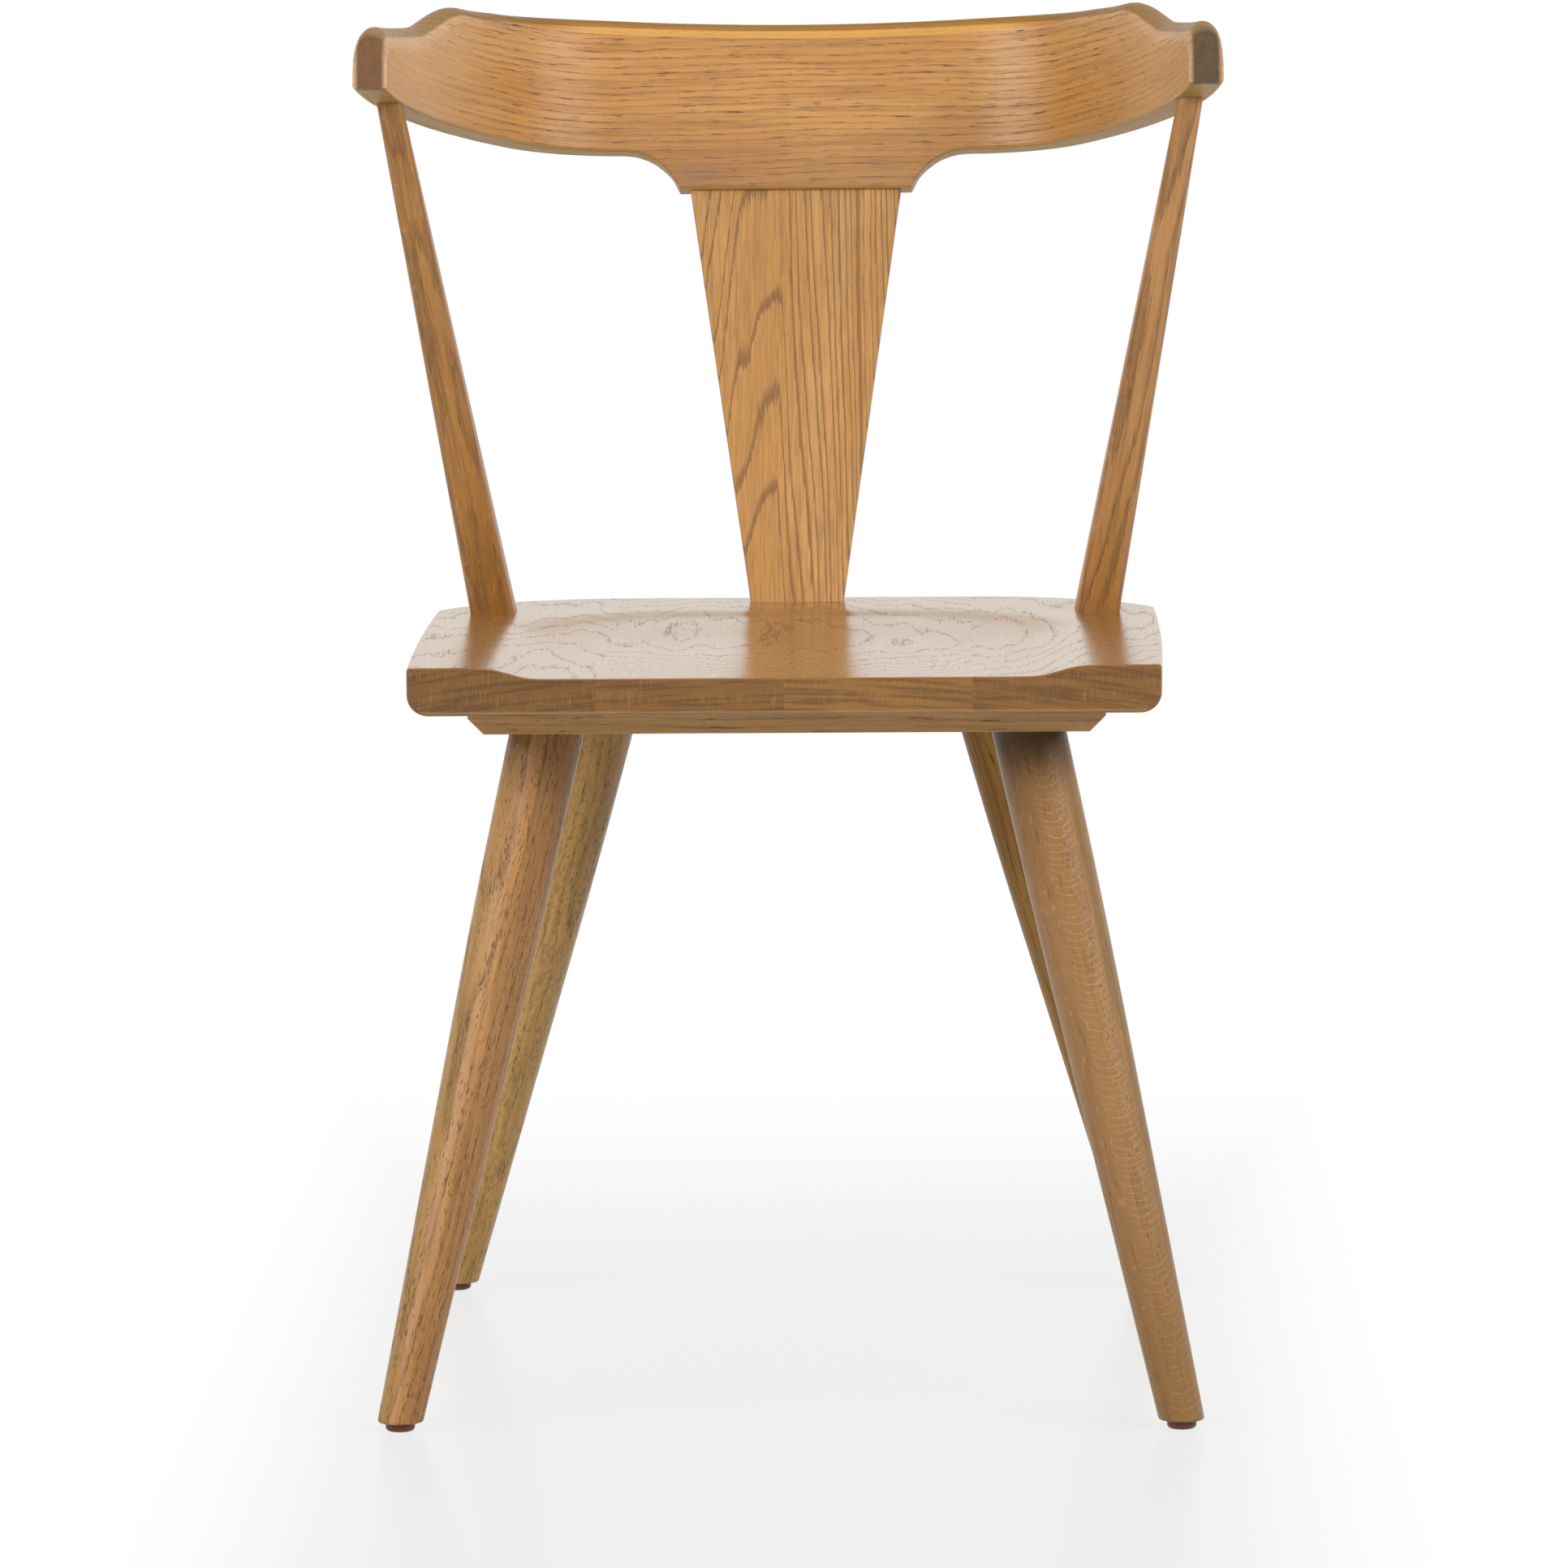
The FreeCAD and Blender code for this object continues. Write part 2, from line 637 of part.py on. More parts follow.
# ---- assembly -------------------------------------------------------------------------
def chair():
    """Every piece by name."""
    parts = {}
    leg_axes = {"front": front_leg_points, "rear": rear_leg_points}
    leg_holes = []
    nails = []
    for name, points in leg_axes.items():
        piece = leg(points)
        hole = leg_tenon(points, glue_clearance)
        leg_holes += [hole, mirrored(hole)]
        parts[name + "_right_leg"] = piece
        parts[name + "_left_leg"] = mirrored(piece)
        parts[name + "_right_glide"] = glide(points[1])
        parts[name + "_left_glide"] = mirrored(glide(points[1]))
        nails += [nail(points[1]), mirrored(nail(points[1]))]
    parts["glide_nails"] = Part.makeCompound(nails)
    rows = {
        "front": (front_cleat_y, front_cleat_half_length, front_screw_places),
        "rear": (rear_cleat_y, rear_cleat_half_length, rear_screw_places),
    }
    screw_holes = []
    for name, (middle_y, half_length, places) in rows.items():
        holes = both_sides(places, middle_y, screw_hole)
        screw_holes += holes
        parts[name + "_cleat"] = cleat(middle_y, half_length).cut(leg_holes + holes)
        parts[name + "_cleat_screws"] = Part.makeCompound(both_sides(places, middle_y, screw))
    foot_pin = spindle_tenons(glue_clearance)[0]
    splat_slot = splat_tongue(glue_clearance)[1]
    splat_slot.Placement = rail_place
    cuts = leg_holes + screw_holes + [foot_pin, mirrored(foot_pin), splat_slot]
    for number, stave in enumerate(seat_staves(seat_board())):
        parts["seat_stave_" + str(number + 1)] = stave.cut(cuts)
    parts["crest_rail"] = crest_rail()
    parts["back_splat"] = back_splat()
    parts["right_side_spindle"] = side_spindle()
    parts["left_side_spindle"] = mirrored(side_spindle())
    return parts


os.makedirs("parts", exist_ok=True)
for name, shape in chair().items():
    shape.exportStep("parts/" + name + ".step")
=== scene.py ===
import math
import bpy
from mathutils import Matrix, Vector


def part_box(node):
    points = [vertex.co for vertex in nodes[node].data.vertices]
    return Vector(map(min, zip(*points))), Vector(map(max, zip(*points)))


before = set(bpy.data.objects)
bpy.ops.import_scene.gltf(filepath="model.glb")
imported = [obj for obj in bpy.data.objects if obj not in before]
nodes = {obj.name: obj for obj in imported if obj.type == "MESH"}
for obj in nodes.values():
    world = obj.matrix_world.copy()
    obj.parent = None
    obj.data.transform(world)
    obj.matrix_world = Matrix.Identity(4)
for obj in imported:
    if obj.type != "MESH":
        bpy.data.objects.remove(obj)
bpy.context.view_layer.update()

# Oak dining chair. Every piece is a CAD node; this script gives each one its wood, nylon or steel,
# and adds the floor, the lamps and the camera. Lamps, camera and floor are in metres, and the
# wood's own sizes in millimetres.

# ---- the crest rail's plan, in millimetres, as the solid has it ---------------------------
BACK_RAKE = math.radians(12.0)
RAIL_ORIGIN = Vector((0.0, 200.5, 738.2))
RAIL_FLAT_HALF = 110.0
RAIL_BEND_RADIUS = 72.6
RAIL_BEND = math.radians(52.5)
RAIL_ARM_RADIUS = 368.0
RAIL_ARM_SWEEP = math.radians(33.7)
RAIL_BEND_END = RAIL_FLAT_HALF + RAIL_BEND_RADIUS * RAIL_BEND
RAIL_ARM_END = RAIL_BEND_END + RAIL_ARM_RADIUS * RAIL_ARM_SWEEP
RAIL_HALF_THICKNESS = 10.5
UP_THE_BACK = Vector((0.0, math.sin(BACK_RAKE), math.cos(BACK_RAKE)))
BEHIND_THE_BACK = Vector((0.0, math.cos(BACK_RAKE), -math.sin(BACK_RAKE)))

AXES = ((1.0, 0.0, 0.0), (0.0, 1.0, 0.0), (0.0, 0.0, 1.0))
WHITE = (1.0, 1.0, 1.0, 1.0)


def linear(code):
    """A colour written as a screen shows it, as the linear value that a shader takes."""
    shown = [int(code[at:at + 2], 16) / 255 for at in (0, 2, 4)]
    given = [p / 12.92 if p <= 0.04045 else ((p + 0.055) / 1.055) ** 2.4 for p in shown]
    return tuple(given) + (1.0,)


class Graph:
    """The node tree of a material or world. Most methods add a node and return its output."""

    def __init__(self, name, library=bpy.data.materials):
        self.owner = library.new(name)
        self.owner.use_nodes = True
        self.tree = self.owner.node_tree
        self.tree.nodes.clear()

    def node(self, kind, **settings):
        made = self.tree.nodes.new("ShaderNode" + kind)
        for key, value in settings.items():
            setattr(made, key, value)
        return made

    def feed(self, socket, value):
        """Links an output, or sets a plain value."""
        if isinstance(value, bpy.types.NodeSocket):
            self.tree.links.new(value, socket)
        else:
            socket.default_value = value

    def calc(self, operation, *values):
        made = self.node("Math", operation=operation)
        for socket, value in zip(made.inputs, values):
            self.feed(socket, value)
        return made.outputs["Value"]

    def add(self, a, b):
        return self.calc("ADD", a, b)

    def less(self, a, b):
        return self.calc("SUBTRACT", a, b)

    def times(self, a, b):
        return self.calc("MULTIPLY", a, b)

    def vector(self, operation, *values):
        made = self.node("VectorMath", operation=operation)
        for socket, value in zip(made.inputs, values):
            self.feed(socket, value)
        return made.outputs["Value" if operation in ("LENGTH", "DOT_PRODUCT") else "Vector"]

    def join(self, x, y, z):
        made = self.node("CombineXYZ")
        for socket, value in zip(made.inputs, (x, y, z)):
            self.feed(socket, value)
        return made.outputs["Vector"]

    def split(self, vector):
        made = self.node("SeparateXYZ")
        self.feed(made.inputs["Vector"], vector)
        return made.outputs["X"], made.outputs["Y"], made.outputs["Z"]

    def step(self, value, start, end, low=0.0, high=1.0):
        """low up to start and high from end on, with a smooth change between."""
        made = self.node("MapRange", interpolation_type="SMOOTHSTEP")
        given = {"Value": value, "From Min": start, "From Max": end, "To Min": low, "To Max": high}
        for name, one in given.items():
            self.feed(made.inputs[name], one)
        return made.outputs["Result"]

    def choose(self, share, a, b):
        """a where share is 0, b where it is 1."""
        made = self.node("Mix", data_type="FLOAT")
        for socket, value in zip((made.inputs[0], made.inputs[2], made.inputs[3]), (share, a, b)):
            self.feed(socket, value)
        return made.outputs[0]

    def tint(self, share, a, b):
        """Colour a changed towards b."""
        made = self.node("Mix", data_type="RGBA")
        for socket, value in zip((made.inputs[0], made.inputs[6], made.inputs[7]), (share, a, b)):
            self.feed(socket, value)
        return made.outputs[2]

    def noise(self, place, size, detail=2.0, rough=0.5, colour=False):
        """Cloudy values whose patches have about this size along each axis."""
        scaled = self.vector("MULTIPLY", place, tuple(1 / one for one in size))
        made = self.node("TexNoise", noise_dimensions="3D")
        self.feed(made.inputs["Vector"], scaled)
        made.inputs["Scale"].default_value = 1.0
        made.inputs["Detail"].default_value = detail
        made.inputs["Roughness"].default_value = rough
        return made.outputs["Color" if colour else "Fac"]

    def object_place(self):
        return self.node("TexCoord").outputs["Object"]

    def framed(self, origin=(0.0, 0.0, 0.0), rows=AXES):
        """Place in millimetres from an origin, along three directions."""
        turn = Matrix(rows)
        made = self.node("Mapping", vector_type="POINT")
        self.feed(made.inputs["Vector"], self.object_place())
        made.inputs["Scale"].default_value = (1000.0, 1000.0, 1000.0)
        made.inputs["Rotation"].default_value = turn.to_euler()
        made.inputs["Location"].default_value = -(turn @ Vector(origin))
        return made.outputs["Vector"]

    def spot(self, place, centre, half):
        """1 inside an ellipsoid, fading to 0 at its edge."""
        offset = self.vector("SUBTRACT", place, centre)
        distance = self.vector("LENGTH", self.vector("DIVIDE", offset, half))
        return self.step(distance, 1.0, 0.4)

    def surface(self, colour, height, depth=0.0001, strength=0.6, facing=None, **settings):
        """Ends the material. Its heights stand on the surface, or on the normal called facing."""
        shader = self.node("BsdfPrincipled")
        self.feed(shader.inputs["Base Color"], colour)
        for key, value in settings.items():
            self.feed(shader.inputs[key.replace("_", " ")], value)
        bump = self.node("Bump")
        bump.inputs["Strength"].default_value = strength
        bump.inputs["Distance"].default_value = depth
        self.feed(bump.inputs["Height"], height)
        if facing is not None:
            self.feed(bump.inputs["Normal"], facing)
        self.feed(shader.inputs["Normal"], bump.outputs["Normal"])
        return self.close("OutputMaterial", shader.outputs["BSDF"])

    def close(self, kind, surface):
        """Ends the tree with its output node and returns the material or world."""
        self.feed(self.node(kind).inputs["Surface"], surface)
        return self.owner


# ---- oak ----------------------------------------------------------------------------------
OAK = {
    "pith": (0.0, -90.0),        # where the trunk's middle lies, across the board and through it
    "tilt": (0.0, 0.0),          # how far the trunk leans for each millimetre along the board
    "crowd": (0.0, 0.0),         # past here, across from the pith, growth is this much closer
    "swell": (0.0, 0.0),         # where along the board the pith is nearest, how fast it leaves
    "stray_size": (90.0, 90.0, 260.0),
    "ring": 5.0,                 # width of a year's growth
    "wander": 14.0,              # how far the trunk's axis strays
    "jag": 0.5,                  # how ragged the edge of a ring is
    "early": 0.38,               # share of a ring that is open early wood
    "early_crowded": 0.38,       # and its share where growth is closer
    "band": 0.5,                 # how strongly the early wood shows
    "line": 0.3,                 # how strongly the row of pores at the start of a ring shows
    "line_share": 0.2,           # share of a ring that this row takes
    "pore_size": (0.8, 15.0),    # width and length of a pore
    "pores": 0.6,
    "pore_cut": 0.68,            # the lower, the more pores
    "uneven": 0.0,               # how much the years differ in width
    "fibre": 0.2,                # how strongly fine dark fibres show
    "rays": 0.2,                 # and pale ray cells
    "stripe": 0.35,              # and broad darker strands
    "blush": 0.0,                # and pink ones
    "streaks": (),               # bands: from and to across the board, how strong, the colour
    "fleck": 0.0,                # how strongly small dark flecks show
    "pale": "c99860",
    "warm": "bb8449",
    "dark": "8d673c",
    "pore": "5c3c1c",
    "pink": "c8977a",
    "ray": "d8b383",
}

# sizes of the wood's features across, through and along the board
GROWTH_SIZE = (22.0, 22.0, 22.0)
FIBRE_SIZE = (0.8, 0.8, 22.0)
STRAND_SIZE = (3.0, 3.0, 90.0)
BREAK_SIZE = (1.6, 1.6, 17.0)
PORE_PATCH_SIZE = (6.0, 6.0, 40.0)
RAY_SIZE = (0.75, 46.0, 9.0)
CLOUD_SIZE = (45.0, 45.0, 190.0)
STREAK_BEND_SIZE = (5.0, 5.0, 60.0)
FLECK_SIZE = (2.6, 2.6, 7.0)
GROWTH_WANDER = 2.0              # years by which growth wanders
YEARS_ALIKE = 1.4                # about how many years pass before their width changes
CROWDING_RUN = 12.0              # over this much of the board, growth gets closer
EARLY_PORES = 0.08               # how much lower the cut of the pores is in early wood
STREAK_BEND = 9.0
STREAK_EDGE = 2.0


def from_pith(graph, place, look):
    """How far a place lies from the trunk's wandering middle, across the board and through it."""
    across, through, along = graph.split(place)
    drift = graph.noise(place, look["stray_size"], colour=True)
    drift = graph.vector("SUBTRACT", drift, (0.5, 0.5, 0.5))
    drift = graph.vector("MULTIPLY", drift, (2 * look["wander"],) * 3)
    drift_x, drift_y, _ = graph.split(drift)
    from_x = graph.less(graph.less(across, look["pith"][0]), graph.times(along, look["tilt"][0]))
    from_y = graph.less(graph.less(through, look["pith"][1]), graph.times(along, look["tilt"][1]))
    off_middle = graph.less(along, look["swell"][0])
    from_y = graph.less(from_y, graph.times(graph.times(off_middle, off_middle), look["swell"][1]))
    return graph.add(from_x, drift_x), graph.add(from_y, drift_y)


def years_of_growth(graph, trunk, from_x, radius, look):
    """Rings from the trunk's middle outwards, one for each whole number."""
    beyond = graph.calc("MAXIMUM", graph.less(from_x, look["crowd"][0]), 0.0)
    closer = graph.times(beyond, look["crowd"][1])
    years = graph.calc("DIVIDE", graph.add(radius, closer), look["ring"])
    wander = graph.noise(trunk, GROWTH_SIZE, detail=1.0)
    years = graph.add(years, graph.times(wander, GROWTH_WANDER))
    if look["uneven"]:
        good_year = graph.noise(graph.join(years, 0.0, 0.0), (YEARS_ALIKE, 1.0, 1.0), detail=1.0)
        years = graph.add(years, graph.times(graph.less(good_year, 0.5), look["uneven"]))
    return years


def parts_of_a_year(graph, place, years, from_x, fibre, look):
    """Where the early wood lies, and the broken row of pores at the start of a year's ring."""
    ragged = graph.times(graph.less(fibre, 0.5), look["jag"])
    season = graph.calc("FRACT", graph.add(years, ragged))
    crowding = look["crowd"][0]
    share = graph.step(
        from_x, crowding, crowding + CROWDING_RUN, look["early"], look["early_crowded"])
    spring = graph.step(season, 0.0, 0.04)
    early = graph.times(spring, graph.step(season, share, graph.times(share, 0.5)))
    share = look["line_share"]
    line = graph.times(graph.step(season, 0.0, 0.03), graph.step(season, share, share * 0.5))
    return early, graph.times(line, graph.step(graph.noise(place, BREAK_SIZE), 0.36, 0.62))


def open_pores(graph, place, early, look):
    """Long fine pores in patches, with more of them in early wood."""
    wide, long = look["pore_size"]
    pore = graph.noise(place, (wide, wide, long), detail=1.0)
    cut = look["pore_cut"]
    pore = graph.step(graph.less(pore, graph.choose(early, cut, cut - EARLY_PORES)), 0.0, 0.05)
    patch = graph.step(graph.noise(place, PORE_PATCH_SIZE, detail=1.0), 0.36, 0.52)
    return graph.times(pore, patch)


def ray_cells(graph, place, from_x, from_y, radius):
    """Thin sheets of cells that stand on edge round the trunk's middle."""
    turn = graph.calc("ARCTAN2", from_y, from_x)
    unrolled = graph.join(graph.times(turn, radius), radius, graph.split(place)[2])
    return graph.step(graph.noise(unrolled, RAY_SIZE, detail=1.0), 0.60, 0.70)


def streaked(graph, place, colour, streaks):
    """Colour with bands along the board, whose edges bend a little."""
    bend = graph.times(graph.less(graph.noise(place, STREAK_BEND_SIZE), 0.5), STREAK_BEND)
    side = graph.add(graph.split(place)[0], bend)
    for start, end, share, tone in streaks:
        begun = graph.step(side, start - STREAK_EDGE, start + STREAK_EDGE)
        not_over = graph.step(side, end + STREAK_EDGE, end - STREAK_EDGE)
        streak = graph.times(begun, not_over)
        colour = graph.tint(graph.times(streak, share), colour, linear(tone))
    return colour


def oak(graph, place, **look):
    """Colour, height and openness of oak at a place: across, through and along the board, in mm."""
    look = {**OAK, **look}
    pale, warm, dark, pink, pale_ray, deep = (
        linear(look[key]) for key in ("pale", "warm", "dark", "pink", "ray", "pore"))
    from_x, from_y = from_pith(graph, place, look)
    trunk = graph.join(from_x, from_y, 0.0)
    radius = graph.vector("LENGTH", trunk)
    years = years_of_growth(graph, trunk, from_x, radius, look)

    fibre = graph.noise(place, FIBRE_SIZE, detail=3.0, rough=0.6)
    strand = graph.noise(place, STRAND_SIZE, detail=3.0, rough=0.55)
    early, line = parts_of_a_year(graph, place, years, from_x, fibre, look)
    pore = open_pores(graph, place, early, look)
    ray = ray_cells(graph, place, from_x, from_y, radius)

    cloud = graph.noise(place, CLOUD_SIZE, detail=3.0)
    colour = graph.tint(graph.step(cloud, 0.36, 0.66), pale, warm)
    colour = graph.tint(graph.step(strand, 0.42, 0.72, 0.0, look["stripe"]), colour, dark)
    colour = graph.tint(graph.step(strand, 0.46, 0.26, 0.0, look["blush"]), colour, pink)
    if look["streaks"]:
        colour = streaked(graph, place, colour, look["streaks"])
    if look["fleck"]:
        fleck = graph.noise(place, FLECK_SIZE, detail=3.0, rough=0.6)
        colour = graph.tint(graph.step(fleck, 0.5, 0.64, 0.0, look["fleck"]), colour, dark)
    colour = graph.tint(graph.times(early, look["band"]), colour, dark)
    colour = graph.tint(graph.step(fibre, 0.4, 0.7, 0.0, look["fibre"]), colour, dark)
    colour = graph.tint(graph.times(ray, look["rays"]), colour, pale_ray)
    colour = graph.tint(graph.times(line, look["line"]), colour, deep)
    colour = graph.tint(graph.times(pore, look["pores"]), colour, deep)
    opened = graph.calc("MAXIMUM", pore, line)
    height = graph.less(graph.times(fibre, 0.25), opened)
    return colour, height, opened


PORE_DEPTH = 0.00012             # metres


def lacquered(graph, wood, rough, strength=0.45, dulled=0.2, **settings):
    """Material of wood, as oak() gives it, under a satin lacquer that open pores dull."""
    colour, height, opened = wood
    roughness = graph.add(graph.times(opened, dulled), rough)
    return graph.surface(
        colour, height, strength=strength, depth=PORE_DEPTH, Roughness=roughness, **settings)


def board_rows(along, across):
    """Directions across, through and along a board."""
    along = Vector(along).normalized()
    through = along.cross(Vector(across)).normalized()
    return through.cross(along), through, along


def dress(node, material):
    """Gives a CAD node one material."""
    mesh = nodes[node].data
    mesh.materials.clear()
    mesh.materials.append(material)


# ---- seat ---------------------------------------------------------------------------------
SEAT = dict(band=0.2, line=0.8, line_share=0.15, early=0.2, wander=9.0, rays=0.25, stripe=0.25,
            stray_size=(50.0, 50.0, 220.0), pores=0.4,
            pale="9f7240", warm="916431", dark="745029", pore="452d14")
# each stave's own cut, and the tone of its end grain
STAVES = {
    "seat_stave_1": (dict(pith=(-190.0, 330.0), tilt=(0.02, 0.05), ring=4.2), "78501f"),
    "seat_stave_2": (dict(pith=(-52.0, 45.0), tilt=(0.03, 0.0), swell=(20.0, 0.0009), ring=6.5),
                     "825722"),
    "seat_stave_3": (dict(pith=(2.0, 50.0), tilt=(-0.02, 0.0), swell=(0.0, 0.0006), ring=5.0),
                     "95662e"),
    "seat_stave_4": (dict(pith=(90.0, 70.0), tilt=(0.03, 0.02), swell=(60.0, 0.0003), ring=5.5),
                     "845824"),
}
END_BOW = 0.0004                 # how fast the end grain's bands bow, per square millimetre
END_BAND_SIZE = (60.0, 30.0, 2.4)
END_TICK_SIZE = (0.55, 1.0, 12.0)
END_PATCH_SIZE = (26.0, 1.0, 9.0)
END_BAND_TONE = linear("4f3214")
END_TICK_TONE = linear("ad8549")
# Painted highlight: a paler line along the lower arris of the end grain.
SEAT_ARRIS_HIGHLIGHT_TONE = linear("b98d55")
SEAT_RIM_TONE = linear("7c4c26")
SEAT_COAT, BARE_COAT, SEAT_COAT_ROUGHNESS = 0.62, 0.05, 0.22


def end_grain(graph, colour, end, end_tone, own, height_mm):
    """Darker end grain with bowed bands and fine upright ticks; own sets each stave apart."""
    across = graph.split(graph.framed())[0]
    colour = graph.tint(graph.times(end, 0.85), colour, linear(end_tone))
    bowed = graph.add(height_mm, graph.times(graph.times(across, across), END_BOW))
    band = graph.noise(graph.join(across, own, bowed), END_BAND_SIZE, detail=3.0)
    band = graph.times(end, graph.step(band, 0.46, 0.58))
    colour = graph.tint(graph.times(band, 0.5), colour, END_BAND_TONE)
    place = graph.join(across, own, height_mm)
    tick = graph.step(graph.noise(place, END_TICK_SIZE, detail=1.0), 0.52, 0.68, 0.0, 0.5)
    patch = graph.step(graph.noise(place, END_PATCH_SIZE), 0.35, 0.6)
    return graph.tint(graph.times(tick, graph.times(end, patch)), colour, END_TICK_TONE)


def seat_material(name, look, end_tone):
    """Board that runs from front to back, with end grain in front and a clear coat on top."""
    graph = Graph(name + "_oak")
    place = graph.framed(rows=board_rows((0, 1, 0), (1, 0, 0)))
    colour, height, opened = oak(graph, place, **SEAT, **look)
    _, facing, up = graph.split(graph.node("NewGeometry").outputs["Normal"])
    end = graph.step(facing, -0.35, -0.85)
    height_mm = graph.split(graph.framed())[2]
    colour = end_grain(graph, colour, end, end_tone, look["pith"][0], height_mm)
    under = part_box(name)[0].z * 1000
    # Painted highlight along the lowest few millimetres of the end grain.
    edge = graph.times(end, graph.step(height_mm, under + 3.0, under + 1.8))
    colour = graph.tint(graph.times(edge, 0.5), colour, SEAT_ARRIS_HIGHLIGHT_TONE)
    rim = graph.times(graph.step(facing, -0.2, -0.5), graph.step(up, 0.25, 0.55))
    colour = graph.tint(graph.times(rim, 0.6), colour, SEAT_RIM_TONE)
    bare = graph.calc("MAXIMUM", end, graph.step(up, 0.0, -0.4))
    coat = {"Coat Weight": graph.choose(bare, SEAT_COAT, BARE_COAT),
            "Coat Roughness": SEAT_COAT_ROUGHNESS}
    return lacquered(graph, (colour, height, opened), 0.22, strength=0.3, dulled=0.3, **coat)


for stave, (look, end_tone) in STAVES.items():
    dress(stave, seat_material(stave, look, end_tone))

# ---- cleats -------------------------------------------------------------------------------
for cleat, pith in (("front_cleat", (30.0, 60.0)), ("rear_cleat", (-50.0, 45.0))):
    graph = Graph(cleat + "_oak")
    place = graph.framed(rows=board_rows((1, 0, 0), (0, 1, 0)))
    wood = oak(graph, place, pith=pith, ring=4.0, band=0.15, line=0.15,
               pale="f4c282", warm="eab574")
    dress(cleat, lacquered(graph, wood, 0.36))

# ---- legs ---------------------------------------------------------------------------------
LEGS = {
    "front_left": dict(
        pith=(46.0, 30.0), ring=6.5, tilt=(0.02, 0.01), band=0.3, stripe=0.7, blush=0.3,
        pore_size=(0.75, 5.0), pores=0.8, pore_cut=0.6, pale="c2915d", warm="b9834b", pore="6a4622",
        # The first band darkens the whole side of the leg that faces the chair's middle: painted
        # shade.
        streaks=((3.0, 40.0, 0.45, "92622d"), (-40.0, -9.0, 0.35, "a6853f"),
                 (-6.0, -3.5, 0.4, "cf9f7c"), (0.0, 1.5, 0.4, "c98a3c"))),
    "front_right": dict(
        pith=(-5.0, 70.0), ring=4.0, band=0.15, stripe=0.3, line=0.15, pale="a57a4b", warm="9a6f42",
        streaks=((14.0, 19.0, 0.5, "70582c"),)),
    "rear_left": dict(
        pith=(-40.0, 40.0), ring=3.4, band=0.15, stripe=0.4, line=0.3, fleck=0.5,
        pore_size=(0.9, 4.0), pore_cut=0.64, pale="daa963", warm="c79851", dark="927343"),
    "rear_right": dict(
        pith=(35.0, -40.0), ring=4.5, band=0.3, stripe=0.5, pale="d09c58", warm="bf8a45"),
}


TENON_END = 0.012                # metres of a tenon that count as its end


def leg_axis(corner):
    """Foot and top of a leg's axis: its glide's middle and its tenon's end."""
    low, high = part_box(corner + "_glide")
    foot = Vector(((low.x + high.x) / 2, (low.y + high.y) / 2, high.z))
    places = [vertex.co for vertex in nodes[corner + "_leg"].data.vertices]
    end_height = max(place.z for place in places) - TENON_END
    tenon_end = [place for place in places if place.z > end_height]
    return foot, sum(tenon_end, Vector()) / len(tenon_end)


FLECK_MIDDLE = 3.2               # millimetres from the leg's own middle
FLECK_APART = 4.5
FLECK_BOW = 0.045                # how fast an arc bows, per square millimetre
FLECK_HALF_WIDTH = 10.5
FLECK_TONE = linear("bf9868")
SPECKS_MIDDLE = 3.5              # millimetres from the flecks' middle
SPECK_TONE = linear("4c341f")
LOW_TONE = linear("84602f")
# Painted shadow: the front right leg's shoulder under the cleat is darkened as if the seat shaded
# it.
SEAT_SHADOW_TONE = linear("44300f")
SEAT_SHADOW_RUN = 30.0                # millimetres under the cleat
LEG_GLOSS, REAR_RIGHT_LEG_GLOSS = 0.4, 0.1


def ray_flecks(graph, place, colour):
    """Pale hanging arcs, one above the other, where the leg's face cuts the wood's rays."""
    across, _, along = graph.split(place)
    across = graph.less(across, FLECK_MIDDLE)
    bow = graph.times(graph.times(across, across), FLECK_BOW)
    uneven = graph.times(graph.noise(place, (60.0, 60.0, 13.0)), 9.0)
    rise = graph.add(graph.less(along, bow), uneven)
    share = graph.calc("FRACT", graph.calc("DIVIDE", rise, FLECK_APART))
    arc = graph.times(graph.step(share, 0.0, 0.06), graph.step(share, 0.2, 0.1))
    near = graph.step(graph.calc("ABSOLUTE", across), FLECK_HALF_WIDTH, FLECK_HALF_WIDTH - 2.5)
    faint = graph.step(graph.noise(place, (5.0, 5.0, 11.0)), 0.3, 0.6, 0.2, 0.7)
    colour = graph.tint(graph.times(graph.times(arc, near), faint), colour, FLECK_TONE)
    speck = graph.step(graph.noise(place, (0.8, 0.8, 1.7), detail=1.0), 0.59, 0.65)
    beside = graph.step(graph.calc("ABSOLUTE", graph.less(across, SPECKS_MIDDLE)), 5.5, 2.0)
    return graph.tint(graph.times(graph.times(speck, beside), 0.6), colour, SPECK_TONE)


def painted_seat_shadow(graph, place):
    """How much painted shadow of the seat darkens a leg's shoulder, close under the front cleat."""
    cleat_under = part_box("front_cleat")[0].z * 1000
    uneven = graph.times(graph.noise(place, (6.0, 6.0, 14.0)), 14.0)
    rise = graph.add(graph.split(graph.framed())[2], uneven)
    return graph.step(rise, cleat_under - SEAT_SHADOW_RUN, cleat_under + 4.0, 0.0, 0.85)


for corner, look in LEGS.items():
    foot, top = leg_axis(corner)
    graph = Graph(corner + "_leg_oak")
    place = graph.framed(foot * 1000, board_rows(top - foot, (1, 0, 0)))
    colour, height, opened = oak(graph, place, **look)
    if corner == "front_right":
        colour = ray_flecks(graph, place, colour)
        low = graph.step(graph.split(place)[2], 200.0, 20.0, 0.0, 0.4)
        colour = graph.tint(low, colour, LOW_TONE)
        # Painted shadow of the seat on the top of this leg.
        colour = graph.tint(painted_seat_shadow(graph, place), colour, SEAT_SHADOW_TONE)
    gloss = {"Specular IOR Level": REAR_RIGHT_LEG_GLOSS if corner == "rear_right" else LEG_GLOSS}
    dress(corner + "_leg", lacquered(graph, (colour, height, opened), 0.34, **gloss))


